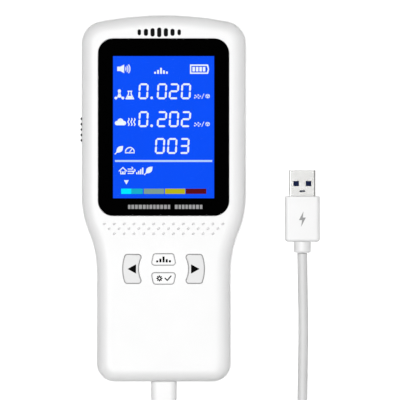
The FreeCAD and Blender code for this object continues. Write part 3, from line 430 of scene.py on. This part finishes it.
def coil_points():
    """Inwards on the floor, up at the eye of the coil, and outwards on top of those turns."""
    down, climb, up = COIL_TURNS
    total = down + climb + up
    count = round(total * POINTS_PER_TURN)
    points = []
    for i in range(count + 1):
        turns = total * i / count
        if turns < down:
            radius = COIL_RADIUS + (COIL_EYE_RADIUS - COIL_RADIUS) * turns / down
            z = COIL_LOW_Z
        elif turns < down + climb:
            radius = COIL_EYE_RADIUS
            z = COIL_LOW_Z + (COIL_HIGH_Z - COIL_LOW_Z) * (turns - down) / climb
        else:
            share = (turns - down - climb) / up
            radius = COIL_EYE_RADIUS + (COIL_EXIT_RADIUS - COIL_EYE_RADIUS) * share
            z = COIL_HIGH_Z
        angle = math.radians(COIL_START + 360 * turns)
        x, y = COIL_CENTRE
        points.append((x + radius * math.cos(angle), y + radius * math.sin(angle), z))
    return points


def add_cord():
    """The lead's whole cord, from the strain relief of one plug to the collar of the other."""
    points = [*PORT_ROUTE, *coil_points(), *PLUG_ROUTE]
    curve = bpy.data.curves.new("lead_cord", "CURVE")
    curve.dimensions = "3D"
    spline = curve.splines.new("NURBS")
    spline.points.add(len(points) - 1)
    for point, place in zip(spline.points, points):
        point.co = (*(c * MM for c in place), 1)
    spline.order_u = 3
    spline.use_endpoint_u = True
    spline.resolution_u = 8
    curve.bevel_depth = CORD_DIAMETER / 2
    curve.bevel_resolution = 6
    curve.use_fill_caps = True
    curve.materials.append(CORD_WHITE)
    cord = bpy.data.objects.new("lead_cord", curve)
    bpy.context.scene.collection.objects.link(cord)
    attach(cord, LEAD)
    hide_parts("lead_coil", "lead_cord_port_side", "lead_cord_plug_side")
    return cord


# ---- thin printed and lit pieces -----------------------------------------------------------
def rect(x0, y0, x1, y1):
    return [(x0, y0), (x1, y0), (x1, y1), (x0, y1)]


def disc(x, y, r, count=20):
    turn = 2 * math.pi / count
    return [(x + r * math.cos(i * turn), y + r * math.sin(i * turn)) for i in range(count)]


def sector(x, y, r0, r1, start, end, count=12):
    """Part of a ring between two angles in degrees."""
    angles = [math.radians(start + (end - start) * i / count) for i in range(count + 1)]
    outer = [(x + r1 * math.cos(a), y + r1 * math.sin(a)) for a in angles]
    inner = [(x + r0 * math.cos(a), y + r0 * math.sin(a)) for a in reversed(angles)]
    return outer + inner


def stroke(points, width):
    """A line's runs as bars with round joints."""
    shapes = [disc(x, y, width / 2, 12) for x, y in points]
    for (x0, y0), (x1, y1) in zip(points, points[1:]):
        length = math.hypot(x1 - x0, y1 - y0)
        nx, ny = -(y1 - y0) / length * width / 2, (x1 - x0) / length * width / 2
        near, far = (x0 - nx, y0 - ny), (x1 - nx, y1 - ny)
        shapes.append([near, far, (x1 + nx, y1 + ny), (x0 + nx, y0 + ny)])
    return shapes


def moved(shapes, x, y):
    return [[(x + a, y + b) for a, b in shape] for shape in shapes]


def thin_piece(name, shapes, z, thickness, material, body):
    """Flat shapes in millimetres as one mesh of thin closed plates, standing on height z."""
    mesh = bmesh.new()
    for shape in shapes:
        area = sum(a[0] * b[1] - b[0] * a[1] for a, b in zip(shape, shape[1:] + shape[:1]))
        if area < 0:
            shape = shape[::-1]
        low = [mesh.verts.new((x * MM, y * MM, z)) for x, y in shape]
        high = [mesh.verts.new((x * MM, y * MM, z + thickness)) for x, y in shape]
        mesh.faces.new(high)
        mesh.faces.new(low[::-1])
        for i in range(len(shape)):
            j = (i + 1) % len(shape)
            mesh.faces.new((low[i], low[j], high[j], high[i]))
    data = bpy.data.meshes.new(name)
    mesh.to_mesh(data)
    mesh.free()
    data.materials.append(material)
    piece = bpy.data.objects.new(name, data)
    bpy.context.scene.collection.objects.link(piece)
    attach(piece, body)
    return piece


# ---- pictograms, in millimetres from their own lower left or middle ------------------------
def speaker_sign():
    cone = [(0, -1.0), (1.4, -1.0), (3.2, -2.0), (3.2, 2.0), (1.4, 1.0), (0, 1.0)]
    return [cone] + [sector(2.9, 0, r - 0.22, r + 0.22, -42, 42) for r in (1.15, 2.05, 2.95)]


def battery_sign():
    """Outline with a pointed right end round four bars."""
    width, height, line = 8.3, 4.3, 0.62
    middle = height / 2
    shapes = [
        rect(0, 0, width, line),
        rect(0, height - line, width, height),
        rect(0, line, line, height - line),
        [(width - line, line), (width, 0), (width + 0.5, middle), (width - 0.1, middle)],
        [(width - 0.1, middle), (width + 0.5, middle), (width, height), (width - line, height - line)],
    ]
    for i in range(4):
        shapes.append(rect(1.15 + 1.58 * i, 1.1, 2.3 + 1.58 * i, height - 1.1))
    return shapes


def peak_sign(width, gap):
    """Row of bars with the highest in the middle: the highest reading."""
    shapes = []
    for i, height in enumerate((0.9, 1.7, 2.7, 1.5, 1.0)):
        x = (i - 2) * (width + gap)
        shapes.append(rect(x - width / 2, -1.35, x + width / 2, height - 1.35))
    return shapes


def molecule_sign():
    """One atom with three bonds, of which the upper one is double."""
    shapes = [disc(0, 0, 0.85), disc(0, 2.25, 0.75)]
    shapes += [rect(-0.5, 0.6, -0.14, 1.8), rect(0.14, 0.6, 0.5, 1.8)]
    for side in (-1, 1):
        shapes += [disc(side * 1.6, -1.0, 0.65)] + stroke([(0, 0), (side * 1.6, -1.0)], 0.42)
    return shapes


def flask_sign():
    walls = [(-0.6, 3.7), (-0.6, 2.4), (-1.75, 0.25), (1.75, 0.25), (0.6, 2.4), (0.6, 3.7)]
    level = [(-1.3, 0.4), (1.3, 0.4), (0.75, 1.6), (-0.75, 1.6)]
    return stroke(walls, 0.46) + [rect(-1.1, 3.5, 1.1, 3.95), level]


def cloud_sign():
    puffs = [disc(1.0, 1.6, 1.0), disc(2.6, 2.3, 1.45), disc(4.2, 1.6, 1.0)]
    return puffs + [rect(1.0, 0.6, 4.2, 1.8)]


def fumes_sign():
    """Three wavy lines rising side by side."""
    shapes = []
    for i in range(3):
        wave = [(i * 1.35 + 0.3 * math.sin(k * 1.3), 0.2 + k * 0.46) for k in range(8)]
        shapes += stroke(wave, 0.46)
    return shapes


def leaf_sign():
    """Blade between two bows, leaning to the right, on a short stem."""
    length, half_width, steps = 4.4, 1.25, 10
    upper = [(length * i / steps, half_width * math.sin(math.pi * i / steps)) for i in range(steps + 1)]
    blade = upper + [(x, -y) for x, y in upper[-2:0:-1]]
    slant = math.sqrt(0.5)
    blade = [(0.5 + slant * (x - y), 0.5 + slant * (x + y)) for x, y in blade]
    return [blade] + stroke([(-0.1, -0.1), (0.7, 0.7)], 0.42)


def dial_sign():
    """Half-round gauge with its needle."""
    needle = stroke([(0, 0.1), (0.9, 1.2)], 0.42)
    return [sector(0, 0, 1.75, 2.25, 0, 180, 18), rect(-2.25, -0.65, 2.25, -0.2)] + needle


def cube_sign(line):
    around = [(0, 0.9), (0.8, 0.5), (1.6, 0.9), (1.6, 1.8), (0.8, 2.2), (0, 1.8), (0, 0.9)]
    inside = [(0, 1.8), (0.8, 1.4), (1.6, 1.8)]
    return stroke(around, line) + stroke(inside, line) + stroke([(0.8, 1.4), (0.8, 0.5)], line)


def per_volume_sign():
    """Dust specks over a slash and a cube: how much is in a volume of air."""
    places = ((0.3, 0.5), (1.2, 1.0), (2.1, 0.4), (2.8, 1.2), (0.5, 1.6), (1.9, 1.8))
    specks = [disc(x, y, 0.33, 10) for x, y in places]
    return specks + stroke([(3.5, 0.1), (4.5, 2.3)], 0.26) + moved(cube_sign(0.26), 5.4, -0.1)


def house_sign():
    walls = [rect(0.5, 0.1, 0.95, 1.7), rect(2.45, 0.1, 2.9, 1.7), rect(0.95, 0.1, 2.45, 0.55)]
    return stroke([(0, 1.6), (1.7, 3.2), (3.4, 1.6)], 0.46) + walls + [rect(1.35, 0.5, 2.05, 1.4)]


def wind_sign():
    shapes = []
    for y, length in ((0.5, 2.3), (1.5, 3.0), (2.5, 1.9)):
        shapes.append(rect(0, y - 0.22, length, y + 0.22))
        shapes.append(sector(length, y + 0.4, 0.18, 0.62, -90, 110, 10))
    return shapes


def steps_sign():
    return [rect(i * 0.9, 0.1, i * 0.9 + 0.62, 1.0 + 0.72 * i) for i in range(4)]


def gear_sign():
    """Ring with eight teeth round it."""
    teeth = 8
    shapes = [sector(0, 0, 0.45, 1.0, 0, 359.99, 32)]
    for i in range(teeth):
        turn = 2 * math.pi * i / teeth
        c, s = math.cos(turn), math.sin(turn)
        shapes.append([(a * c - b * s, a * s + b * c) for a, b in rect(0.95, -0.26, 1.4, 0.26)])
    return shapes


# ---- the lit screen ------------------------------------------------------------------------
SCREEN_WIDTH, SCREEN_HEIGHT = 46.4, 65.2
SCREEN_LOW, SCREEN_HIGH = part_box("display_glass")
SCREEN_Z = SCREEN_HIGH.z + 0.02 * MM
SCREEN_LEFT = (SCREEN_LOW.x + SCREEN_HIGH.x) / 2 / MM - SCREEN_WIDTH / 2
SCREEN_TOP = (SCREEN_LOW.y + SCREEN_HIGH.y) / 2 / MM + SCREEN_HEIGHT / 2
INK = 0.03 * MM

DIGIT_WIDTH = 4.5
DIGIT_HEIGHT = 7.3
DIGIT_STROKE = 0.86
DIGIT_GAP = 0.1
DIGIT_SLANT = math.tan(math.radians(3))
# READINGS holds how far down each line of numbers stands and how far right each sign starts, and
# SCALE_STEPS where each step starts and ends, in millimetres from the screen's upper left corner.
SEGMENTS_ON = {"0": "abcdef", "2": "abdeg", "3": "abcdg"}
READINGS = (
    (19.75, (("0", 11.7), (".", 17.1), ("0", 20.2), ("2", 25.7), ("0", 31.2))),
    (32.55, (("0", 11.7), (".", 17.1), ("2", 20.2), ("0", 25.7), ("2", 31.2))),
    (44.85, (("0", 19.3), ("0", 24.9), ("3", 30.5))),
)
SCALE_STEPS = (
    ("cyan", 3.7, 8.4, (0.0, 0.86, 1.0)),
    ("teal", 8.4, 13.6, (0.01, 0.45, 0.60)),
    ("sage", 14.1, 23.4, (0.22, 0.35, 0.30)),
    ("yellow", 23.8, 33.1, (0.52, 0.48, 0.01)),
    ("maroon", 33.3, 42.8, (0.11, 0.004, 0.008)),
)


def screen_at(shapes, left, down):
    """Shapes placed by how far they are from the screen's left and top edges."""
    return moved(shapes, SCREEN_LEFT + left, SCREEN_TOP - down)


def digit_segment(x0, y0, x1, y1):
    """Bar between two corners of a digit, with both ends pointed."""
    half = DIGIT_STROKE / 2
    if y0 == y1:
        x0, x1 = x0 + DIGIT_GAP, x1 - DIGIT_GAP
        lower = [(x0 + half, y0 - half), (x1 - half, y0 - half)]
        upper = [(x1 - half, y0 + half), (x0 + half, y0 + half)]
        return [(x0, y0), *lower, (x1, y0), *upper]
    y0, y1 = y0 + DIGIT_GAP, y1 - DIGIT_GAP
    right = [(x0 + half, y0 + half), (x0 + half, y1 - half)]
    left = [(x0 - half, y1 - half), (x0 - half, y0 + half)]
    return [(x0, y0), *right, (x0, y1), *left]


def digit(sign):
    """Seven-segment digit, or its decimal point, standing on y = 0."""
    if sign == ".":
        return [disc(0.6, 0.62, 0.62)]
    half = DIGIT_STROKE / 2
    left, right = half, DIGIT_WIDTH - half
    low, middle, high = half, DIGIT_HEIGHT / 2, DIGIT_HEIGHT - half
    places = {
        "a": (left, high, right, high),
        "b": (right, middle, right, high),
        "c": (right, low, right, middle),
        "d": (left, low, right, low),
        "e": (left, low, left, middle),
        "f": (left, middle, left, high),
        "g": (left, middle, right, middle),
    }
    shapes = [digit_segment(*places[key]) for key in SEGMENTS_ON[sign]]
    return [[(x + (y - middle) * DIGIT_SLANT, y) for x, y in shape] for shape in shapes]


def add_screen():
    white = lit("screen_white", (0.88, 0.95, 1.0))
    pale = lit("screen_pale", (0.50, 0.68, 1.0))
    numbers = []
    for down, signs in READINGS:
        for sign, left in signs:
            numbers += screen_at(digit(sign), left, down)
    status = screen_at(speaker_sign(), 1.9, 5.8) + screen_at(battery_sign(), 35.3, 8.1)
    labels = screen_at(peak_sign(0.85, 0.5), 22.0, 6.7)
    labels += screen_at(molecule_sign(), 2.9, 18.2) + screen_at(flask_sign(), 7.7, 19.8)
    labels += screen_at(cloud_sign(), 0.8, 32.3) + screen_at(fumes_sign(), 7.1, 32.0)
    labels += screen_at(leaf_sign(), 1.0, 44.8) + screen_at(dial_sign(), 7.7, 43.9)
    for i, sign in enumerate((house_sign(), wind_sign(), steps_sign(), leaf_sign())):
        labels += screen_at(sign, 2.8 + 3.9 * i, 54.3)
    units = screen_at(per_volume_sign(), 37.2, 19.6) + screen_at(per_volume_sign(), 37.2, 32.4)
    pointer = screen_at([[(0, 2.2), (1.1, 0.2), (2.2, 2.2)]], 5.0, 59.1)
    rule = screen_at([rect(0, -0.45, 44.6, 0.45)], 0.9, 48.1)
    made = (
        ("numbers", numbers, white),
        ("status", status, white),
        ("labels", labels, white),
        ("units", units + pointer, white),
        ("rule", rule, pale),
    )
    for name, shapes, material in made:
        thin_piece("screen_" + name, shapes, SCREEN_Z, INK, material, ROOT)
    for name, start, end, color in SCALE_STEPS:
        bar = screen_at([rect(0, 0, end - start, 2.4)], start, 63.2)
        shade = lit("scale_" + name, color)
        thin_piece("scale_" + name, bar, SCREEN_Z, INK, shade, ROOT)


# ---- marks printed on the window, keys, plug and back --------------------------------------
def stand_in_words(widths, height, x, y):
    """Row of plain bars where a line of words would be, centred on x; a width of 0 is a space."""
    gap, word_gap = 0.42, 1.3
    total = sum(widths) + gap * (len(widths) - 1)
    shapes, at = [], x - total / 2
    for width in widths:
        if width > 0:
            shapes.append(rect(at, y - height / 2, at + width, y + height / 2))
        at += (width if width > 0 else word_gap) + gap
    return shapes


def middle_of(name):
    """Middle of a CAD piece seen from the front, in millimetres, and the height of its top."""
    low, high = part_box(name)
    return (low.x + high.x) / 2 / MM, (low.y + high.y) / 2 / MM, high.z


def add_window_marks():
    """Small bars printed behind the lens along the window's lower border; their glow is painted light.
    """
    low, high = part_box("window_mask")
    # The print's own grey glows faintly: painted light, for the light that the lens keeps off it.
    ink = lit("window_print_painted_light", grey(0.34), vary=0.08)
    shift, height = 0.1, 1.9
    y = (low.y / MM + SCREEN_TOP - SCREEN_HEIGHT) / 2 + shift
    first = (1.1, 1.3, 1.2, 1.5, 1.3, 0.9, 1.3, 1.1, 1.3, 1.3, 1.3, 1.1)
    second = (1.3, 1.1, 1.2, 1.1, 1.3, 1.2, 1.3, 1.2)
    bars = stand_in_words((*first, 0, *second), height, shift, y)
    thin_piece("window_marks", bars, high.z, INK, ink, ROOT)


def add_key_marks():
    ink = surface("key_ink", grey(0.003), 0.5, vary=0.1, Specular_IOR_Level=0.0)
    left = [[(-1.95, 0), (1.95, -2.15), (1.95, 2.15)]]
    right = [[(-x, y) for x, y in left[0]]]
    tick = stroke([(0.7, 0.1), (1.7, -0.9), (3.4, 1.1)], 0.55)
    marks = {
        "left": left,
        "right": right,
        "upper": peak_sign(0.95, 0.5),
        "lower": moved(gear_sign(), -1.9, 0) + tick,
    }
    for name, shapes in marks.items():
        x, y, z = middle_of("key_" + name)
        piece = moved(shapes, x, y)
        thin_piece("mark_" + name, piece, z, INK, ink, name + "_key")


def add_plug_mark():
    """Printed bolt on the far plug's grip."""
    ink = surface("plug_ink", grey(0.22), 0.55, vary=0.05)
    bolt = [(0.5, 3.6), (-1.6, -0.5), (-0.2, -0.5), (-0.6, -3.6), (1.6, 0.7), (0.2, 0.7)]
    x, y, z = middle_of("lead_plug_grip")
    return thin_piece("plug_mark", moved([bolt], x, y), z, INK, ink, LEAD)


def add_back_label():
    """Sticker in the recess of the back, with plain bars for its print and a box for its code."""
    low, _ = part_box("rear_shell")
    x, y, width, height = 0.0, 2.0, 36.4, 44.4
    margin, line_pitch, line_height, first_line = 15.0, 3.4, 1.4, 17.2
    code_bottom, code_top, code_gap = -18.5, -9.5, 0.6
    paper = surface("label_paper", grey(0.62), 0.55, vary=0.02, grain=0.4)
    ink = surface("label_ink", grey(0.05), 0.6, vary=0.1)
    sheet_z = low.z + 0.17 * MM
    sheet = moved([rect(-width / 2, -height / 2, width / 2, height / 2)], x, y)
    thin_piece("label_sheet", sheet, sheet_z, 0.12 * MM, paper, ROOT)
    bars = []
    for i in range(7):
        bottom = first_line - line_pitch * i
        bars.append(rect(-margin, bottom, margin - 2.3 * (i % 3), bottom + line_height))
    code_x = -margin
    for i in range(22):
        bar_width = 0.4 if i % 3 == 0 else 0.8
        bars.append(rect(code_x, code_bottom, code_x + bar_width, code_top))
        code_x += bar_width + code_gap
    thin_piece("label_print", moved(bars, x, y), sheet_z - INK, INK, ink, ROOT)


# ---- everything ----------------------------------------------------------------------------
add_camera()
CORD = add_cord()
add_lights()
add_floor(surface("floor", grey(0.88), 0.7, vary=0.004, cloud=60.0, depth=0.5, Specular_IOR_Level=0.1))
paint_cad()
add_screen()
add_window_marks()
add_key_marks()
PLUG_MARK = add_plug_mark()
add_back_label()
